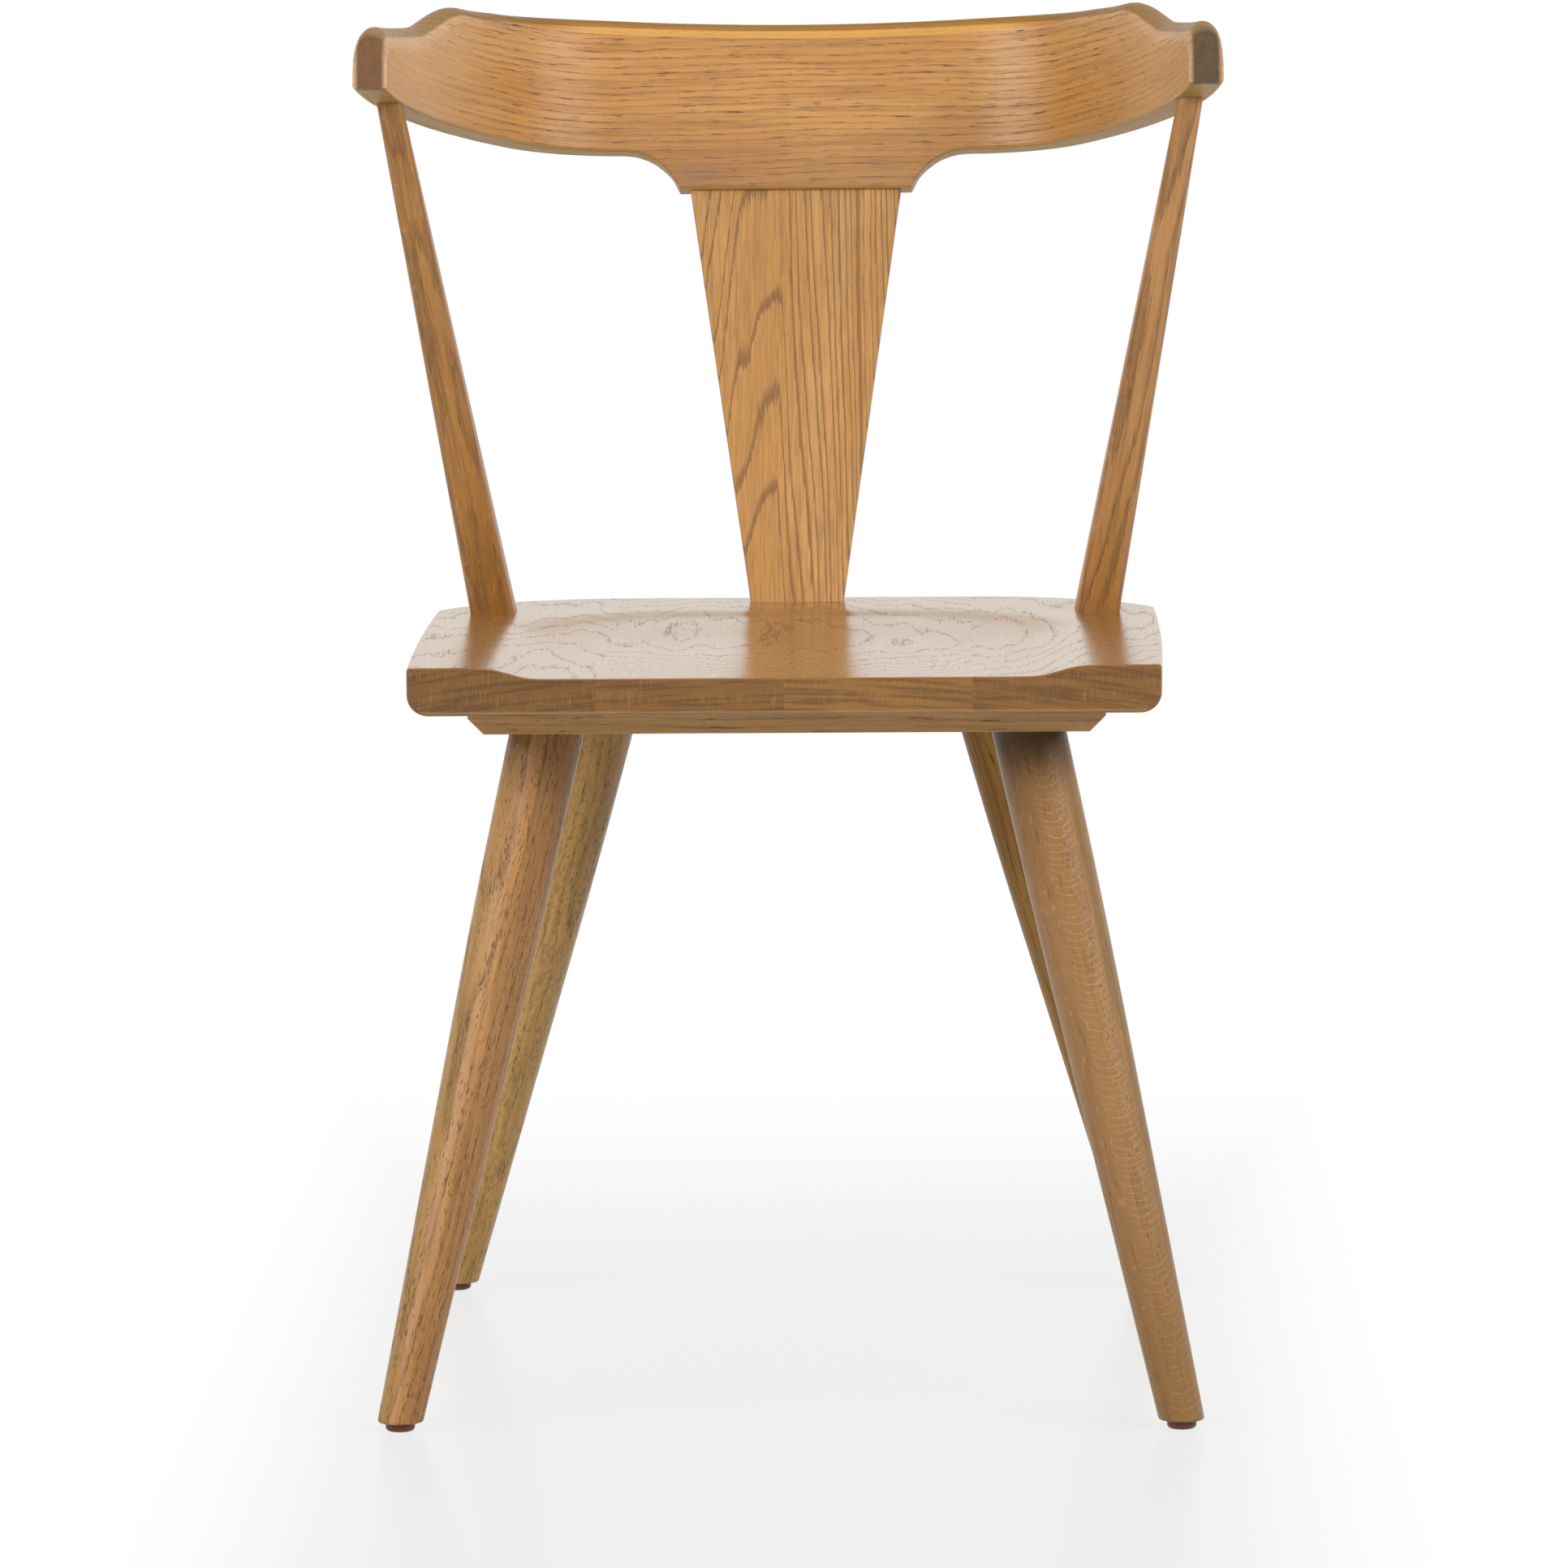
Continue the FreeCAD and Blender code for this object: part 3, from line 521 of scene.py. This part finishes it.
# ---- crest rail ---------------------------------------------------------------------------
def rail_place(graph):
    """Place up the rake, through the thickness and along the bent band, in millimetres, and how
    far along the band it lies from the middle, to either side."""
    rows = (AXES[0], BEHIND_THE_BACK, UP_THE_BACK)
    x, y, height = graph.split(graph.framed(RAIL_ORIGIN, rows))
    side = graph.calc("SIGN", x)
    x = graph.calc("ABSOLUTE", x)
    bend_centre = (RAIL_FLAT_HALF, -RAIL_BEND_RADIUS)
    reach = RAIL_BEND_RADIUS - RAIL_ARM_RADIUS
    arm_centre = (bend_centre[0] + reach * math.sin(RAIL_BEND),
                  bend_centre[1] + reach * math.cos(RAIL_BEND))

    def polar(centre, radius):
        off_x = graph.less(x, centre[0])
        off_y = graph.less(y, centre[1])
        length = graph.vector("LENGTH", graph.join(off_x, off_y, 0.0))
        return graph.calc("ARCTAN2", off_x, off_y), graph.less(length, radius)

    bend_turn, bend_depth = polar(bend_centre, RAIL_BEND_RADIUS)
    arm_turn, arm_depth = polar(arm_centre, RAIL_ARM_RADIUS)
    on_bend = graph.calc("GREATER_THAN", x, RAIL_FLAT_HALF)
    on_arm = graph.times(on_bend, graph.calc("GREATER_THAN", bend_turn, RAIL_BEND))
    bend_run = graph.add(graph.times(bend_turn, RAIL_BEND_RADIUS), RAIL_FLAT_HALF)
    arm_run = graph.add(graph.times(arm_turn, RAIL_ARM_RADIUS), RAIL_FLAT_HALF + reach * RAIL_BEND)
    run = graph.choose(on_arm, graph.choose(on_bend, x, bend_run), arm_run)
    depth = graph.choose(on_arm, graph.choose(on_bend, y, bend_depth), arm_depth)
    return graph.join(height, depth, graph.times(side, run)), run


RAIL = dict(pith=(420.0, 70.0), tilt=(0.01, 0.0), ring=4.4, wander=9.0, band=0.25, rays=0.0,
            line=0.6, line_share=0.15, jag=0.9, stripe=0.6, blush=0.25, pores=1.0,
            pore_size=(0.55, 15.0), pore_cut=0.66,
            pale="cd954a", warm="be8238", dark="91622b", pore="4e2f12")
RAIL_LOW_TONE = linear("99693a")
# Painted sheen: the arms grow paler towards their ends, the left one more.
ARM_SHEEN_TONE = linear("e0bc98")
# Painted light that follows the way the rail's faces turn: a dark top as a painted dark reflection,
# a golden sheen line along the top's front edge, and a pale underside lit by painted reflected
# light.
CROWN_DARK_REFLECTION_TONES = linear("91641f"), linear("735624")         # in the middle and past the shoulders
CROWN_SHEEN_TONE = linear("dea645")
UNDERSIDE_REFLECTION_TONE = linear("dcb35f")
MARK_PLACE, MARK_HALF, MARK_TONE = (30.0, 0.0, 14.0), (2.0, 9.0, 4.0), linear("8a4a30")
STAIN_PLACE, STAIN_HALF, STAIN_TONE = (-14.0, 0.0, -61.0), (11.0, 9.0, 16.0), linear("7d7360")
RIGHT_TIP_TONES = linear("504530"), linear("403d34")
LEFT_TIP_TONES = linear("6f4a2e"), linear("63442b")
RAIL_GLOSS, BARE_GLOSS = 0.95, 0.15


def painted_crown_light(graph, colour, rise, run):
    """Painted light by facing: a darker top as a painted dark reflection, a golden painted sheen
    along its front edge, and a pale underside of painted reflected light.
    """
    shoulder = graph.step(run, 140.0, 190.0)
    top = graph.times(graph.step(rise, 0.38, 0.52), graph.choose(shoulder, 0.75, 0.65))
    colour = graph.tint(top, colour, graph.tint(shoulder, *CROWN_DARK_REFLECTION_TONES))
    edge = graph.times(graph.step(rise, 0.0, 0.12), graph.step(rise, 0.52, 0.38))
    edge = graph.times(edge, graph.step(run, 170.0, 120.0))
    colour = graph.tint(graph.times(edge, 0.6), colour, CROWN_SHEEN_TONE)
    under = graph.step(rise, -0.4, -0.8)
    return graph.tint(graph.times(under, 0.8), colour, UNDERSIDE_REFLECTION_TONE), top, under


def marked(graph, colour, place):
    """Reddish mark on the rail's face, and a grey stain near the tab."""
    mark = graph.spot(place, MARK_PLACE, MARK_HALF)
    colour = graph.tint(graph.times(mark, 0.5), colour, MARK_TONE)
    patchy = graph.step(graph.noise(place, (3.0, 3.0, 8.0), detail=3.0), 0.4, 0.65)
    stain = graph.times(graph.spot(place, STAIN_PLACE, STAIN_HALF), patchy)
    return graph.tint(graph.times(stain, 0.5), colour, STAIN_TONE)


def end_grained(graph, colour, place, run, left):
    """Dark end grain at the arms' tips, which keeps off the tips' rounded rims."""
    depth = graph.split(place)[1]
    off_middle = graph.calc("ABSOLUTE", graph.less(depth, RAIL_HALF_THICKNESS))
    end = graph.times(graph.step(run, RAIL_ARM_END - 8.0, RAIL_ARM_END - 1.5),
                      graph.step(off_middle, 10.4, 6.6))
    clear, cloudy = (graph.tint(left, *pair) for pair in zip(RIGHT_TIP_TONES, LEFT_TIP_TONES))
    cloud = graph.step(graph.noise(place, (7.0, 5.0, 30.0), detail=3.0), 0.3, 0.7)
    tone = graph.tint(cloud, clear, cloudy)
    return graph.tint(graph.times(end, 0.9), colour, tone), end


def levelled(graph, normal, run):
    """Normal without the hair's step that the tab's corner leaves in the flat front and back."""
    flat = -BEHIND_THE_BACK
    square_on = graph.vector("DOT_PRODUCT", normal, flat)
    faced = graph.node("VectorMath", operation="SCALE")
    faced.inputs[0].default_value = flat
    graph.feed(faced.inputs["Scale"], graph.calc("SIGN", square_on))
    beside_tab = graph.times(graph.step(run, 71.0, 72.0), graph.step(run, 109.5, 106.0))
    on_flat = graph.times(graph.step(graph.calc("ABSOLUTE", square_on), 0.93, 0.975), beside_tab)
    level = graph.node("Mix", data_type="VECTOR")
    for at, value in ((0, on_flat), (4, normal), (5, faced.outputs["Vector"])):
        graph.feed(level.inputs[at], value)
    return level.outputs[1]


graph = Graph("crest_rail_oak")
place, run = rail_place(graph)
colour, height, opened = oak(graph, place, **RAIL)
up, _, along = graph.split(place)
left = graph.step(along, 1.0, -1.0)
normal = graph.node("NewGeometry").outputs["Normal"]
colour = graph.tint(graph.times(graph.step(up, 30.0, -20.0), 0.4), colour, RAIL_LOW_TONE)
# Painted sheen along the arms, paler towards their ends and stronger on the left.
arm_sheen = graph.times(graph.step(run, 190.0, 320.0), graph.choose(left, 0.3, 0.5))
colour = graph.tint(arm_sheen, colour, ARM_SHEEN_TONE)
rise = graph.vector("DOT_PRODUCT", normal, UP_THE_BACK)
# Painted light by facing: a darker top, a sheen line and a pale underside.
colour, top, under = painted_crown_light(graph, colour, rise, run)
colour = marked(graph, colour, place)
colour, end = end_grained(graph, colour, place, run, left)
bare = graph.calc("MAXIMUM", graph.calc("MAXIMUM", end, top), under)
gloss = {"Specular IOR Level": graph.choose(bare, RAIL_GLOSS, BARE_GLOSS)}
dress("crest_rail", lacquered(graph, (colour, height, opened), 0.42,
                              facing=levelled(graph, normal, run), **gloss))

# ---- back splat ---------------------------------------------------------------------------
graph = Graph("back_splat_oak")
place = graph.framed(RAIL_ORIGIN, board_rows(UP_THE_BACK, (1, 0, 0)))
wood = oak(graph, place, pith=(-5.0, 100.0), tilt=(0.03, 0.065), crowd=(0.0, 0.65), ring=4.3,
           wander=3.0, band=0.78, jag=0.4, early=0.24, early_crowded=0.38, line=0.3, pores=0.3,
           rays=0.0, stripe=0.3, uneven=1.6, fibre=0.5,
           pale="d9a769", warm="cb9655", dark="8e6336", pore="6f4f2c")
dress("back_splat", lacquered(graph, wood, 0.36))

# ---- side spindles ------------------------------------------------------------------------
SPINDLES = {
    "right": dict(pith=(20.0, 45.0), tilt=(0.06, 0.02), pale="bf8b54", warm="af793e"),
    "left": dict(pith=(-15.0, 50.0), tilt=(0.0, 0.05), pale="b07b3d", warm="9e692b"),
}
SPINDLE_FOOT = Vector((188.0, 85.0, 456.2))
SPINDLE_HALF = 8.0               # from the top's outer corner to the axis

for side, look in SPINDLES.items():
    low, high = (corner * 1000 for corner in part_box(side + "_side_spindle"))
    sign = 1 if side == "right" else -1
    foot = Vector((sign * SPINDLE_FOOT.x, SPINDLE_FOOT.y, SPINDLE_FOOT.z))
    reach = max(abs(low.x), abs(high.x)) - SPINDLE_HALF
    top = Vector((sign * reach, low.y + SPINDLE_HALF, high.z))
    graph = Graph(side + "_side_spindle_oak")
    place = graph.framed(foot, board_rows(top - foot, (1, 0, 0)))
    wood = oak(graph, place, ring=5.0, band=0.5, stripe=0.7, dark="7c5730", **look)
    dress(side + "_side_spindle", lacquered(graph, wood, 0.36))

# ---- glides and fastenings ----------------------------------------------------------------
graph = Graph("brown_nylon")
mottle = graph.noise(graph.framed(), (3.0, 3.0, 3.0), detail=4.0)
colour = graph.tint(graph.step(mottle, 0.3, 0.7), linear("7a4028"), linear("5e301c"))
nylon = graph.surface(colour, mottle, strength=0.2, Roughness=0.42)
for corner in LEGS:
    dress(corner + "_glide", nylon)

graph = Graph("plated_steel")
grime = graph.noise(graph.framed(), (1.2, 1.2, 1.2), detail=4.0)
colour = graph.tint(graph.step(grime, 0.35, 0.7), linear("c9c3b2"), linear("9c9482"))
steel = graph.surface(colour, grime, strength=0.15, Metallic=1.0, Roughness=0.38)
for node in ("glide_nails", "front_cleat_screws", "rear_cleat_screws"):
    dress(node, steel)

# ---- floor --------------------------------------------------------------------------------
FLOOR_HALF = 9.0
PAPER_TONE = (0.38, 0.38, 0.382, 1.0)
NEAR_GLOW = 0.76                 # share of the paper's tone near the chair that is its own light
bpy.ops.mesh.primitive_grid_add(x_subdivisions=8, y_subdivisions=8, size=2 * FLOOR_HALF)
floor = bpy.context.object
floor.name = "floor"


def seen_directly(graph):
    """1 for what the camera sees, also in a mirror or through glass."""
    ray = graph.node("LightPath")
    seen = graph.calc("MAXIMUM", ray.outputs["Is Camera Ray"], ray.outputs["Is Glossy Ray"])
    return graph.calc("MAXIMUM", seen, ray.outputs["Is Transmission Ray"])


# The paper is grey under the chair and towards the viewer, and turns white at both sides and
# behind. Part of its tone is its own light, which keeps the shadows as faint as a soft studio does.
graph = Graph("pale_floor")
x, y, _ = graph.split(graph.object_place())
beside = graph.step(graph.calc("ABSOLUTE", x), 0.21, 0.38)
behind = graph.step(y, 0.25, 1.15)
far = graph.calc("MAXIMUM", beside, behind)
paper = graph.node("BsdfPrincipled")
paper.inputs["Base Color"].default_value = PAPER_TONE
paper.inputs["Roughness"].default_value = 0.25
paper.inputs["Specular IOR Level"].default_value = 0.25
glow = graph.node("Emission")
glow.inputs["Color"].default_value = WHITE
glow.inputs["Strength"].default_value = 1.0
mix = graph.node("MixShader")
own_light = graph.times(graph.choose(far, NEAR_GLOW, 1.0), seen_directly(graph))
graph.feed(mix.inputs["Fac"], own_light)
graph.feed(mix.inputs[1], paper.outputs["BSDF"])
graph.feed(mix.inputs[2], glow.outputs["Emission"])
floor.data.materials.append(graph.close("OutputMaterial", mix.outputs["Shader"]))

# ---- world and lamps ----------------------------------------------------------------------
# Seen directly the room is white. In gloss it is a little warm, and darker in front and overhead.
WORLD_FILL = 0.10                # what the room adds to lit surfaces
ROOM_SHEEN = 0.30                # how bright its dark end is in gloss
SHEEN_TONE = (1.0, 0.96, 0.90, 1.0)

graph = Graph("studio", bpy.data.worlds)
_, towards_back, upwards = graph.split(graph.node("TexCoord").outputs["Generated"])
rays = graph.node("LightPath").outputs
room = graph.step(towards_back, -0.45, 0.25, ROOM_SHEEN, 1.0)
room = graph.step(graph.step(upwards, 0.3, 0.8), 0.0, 1.0, room, ROOM_SHEEN)
lighting = graph.step(rays["Is Glossy Ray"], 0.0, 1.0, WORLD_FILL, room)
seen = graph.calc("MAXIMUM", rays["Is Camera Ray"], rays["Is Transmission Ray"])
background = graph.node("Background")
graph.feed(background.inputs["Strength"], graph.step(seen, 0.0, 1.0, lighting, 1.0))
graph.feed(background.inputs["Color"], graph.tint(rays["Is Glossy Ray"], WHITE, SHEEN_TONE))
bpy.context.scene.world = graph.close("OutputWorld", background.outputs["Background"])


def area_lamp(name, place, aim, size, watts):
    """Rectangular lamp that looks at a point, as its object."""
    lamp = bpy.data.lights.new(name, "AREA")
    lamp.shape = "RECTANGLE"
    lamp.size, lamp.size_y = size
    lamp.energy = watts
    holder = bpy.data.objects.new(name, lamp)
    bpy.context.scene.collection.objects.link(holder)
    holder.location = place
    holder.rotation_mode = "QUATERNION"
    holder.rotation_quaternion = (Vector(aim) - Vector(place)).to_track_quat("-Z", "Y")
    return holder


# Two soft boxes light the chair. Gloss shows a dimmer one in each place, so that no face burns out.
BOX_PLACES = {"left": (-2.8, -2.8, 2.6), "right": (3.4, -2.0, 2.5)}
BOX_AIM = (0.0, 0.0, 0.5)
BOX_SIZE, BOX_WATTS = (4.2, 2.0), 153.0
SHEEN_SIZE, SHEEN_WATTS = (4.4, 2.2), 112.0
TOP_PLACE, TOP_AIM, TOP_SIZE, TOP_WATTS = (0.0, 0.2, 3.2), (0.0, 0.0, 0.4), (2.4, 2.0), 16.0
CARD_PLACE, CARD_AIM, CARD_SIZE, CARD_WATTS = (0.0, -4.0, 0.3), (0.0, 0.0, 0.35), (3.0, 0.5), 9.0

for side, place in BOX_PLACES.items():
    area_lamp(side + "_box", place, BOX_AIM, BOX_SIZE, BOX_WATTS).visible_glossy = False
    area_lamp(side + "_sheen", place, BOX_AIM, SHEEN_SIZE, SHEEN_WATTS).visible_diffuse = False
area_lamp("top", TOP_PLACE, TOP_AIM, TOP_SIZE, TOP_WATTS)
area_lamp("low_card", CARD_PLACE, CARD_AIM, CARD_SIZE, CARD_WATTS).visible_glossy = False

# ---- camera -------------------------------------------------------------------------------
CAMERA_PLACE = Vector((0.1020, -4.8837, 0.9322))
CAMERA_DOWN = math.radians(6.71)
CAMERA_TURN = math.radians(1.266)
CAMERA_ROLL = math.radians(-0.45)
CAMERA_SENSOR = 36.0
CAMERA_LENS = 183.88
camera_data = bpy.data.cameras.new("camera")
camera_data.sensor_width = CAMERA_SENSOR
camera_data.lens = CAMERA_LENS
camera_data.clip_end = 100.0
camera = bpy.data.objects.new("camera", camera_data)
bpy.context.scene.collection.objects.link(camera)
turn = Matrix.Rotation(CAMERA_TURN, 4, "Z") @ Matrix.Rotation(math.pi / 2 - CAMERA_DOWN, 4, "X")
camera.matrix_world = Matrix.Translation(CAMERA_PLACE) @ turn @ Matrix.Rotation(CAMERA_ROLL, 4, "Z")
bpy.context.scene.camera = camera
bpy.context.scene.view_settings.view_transform = "Standard"
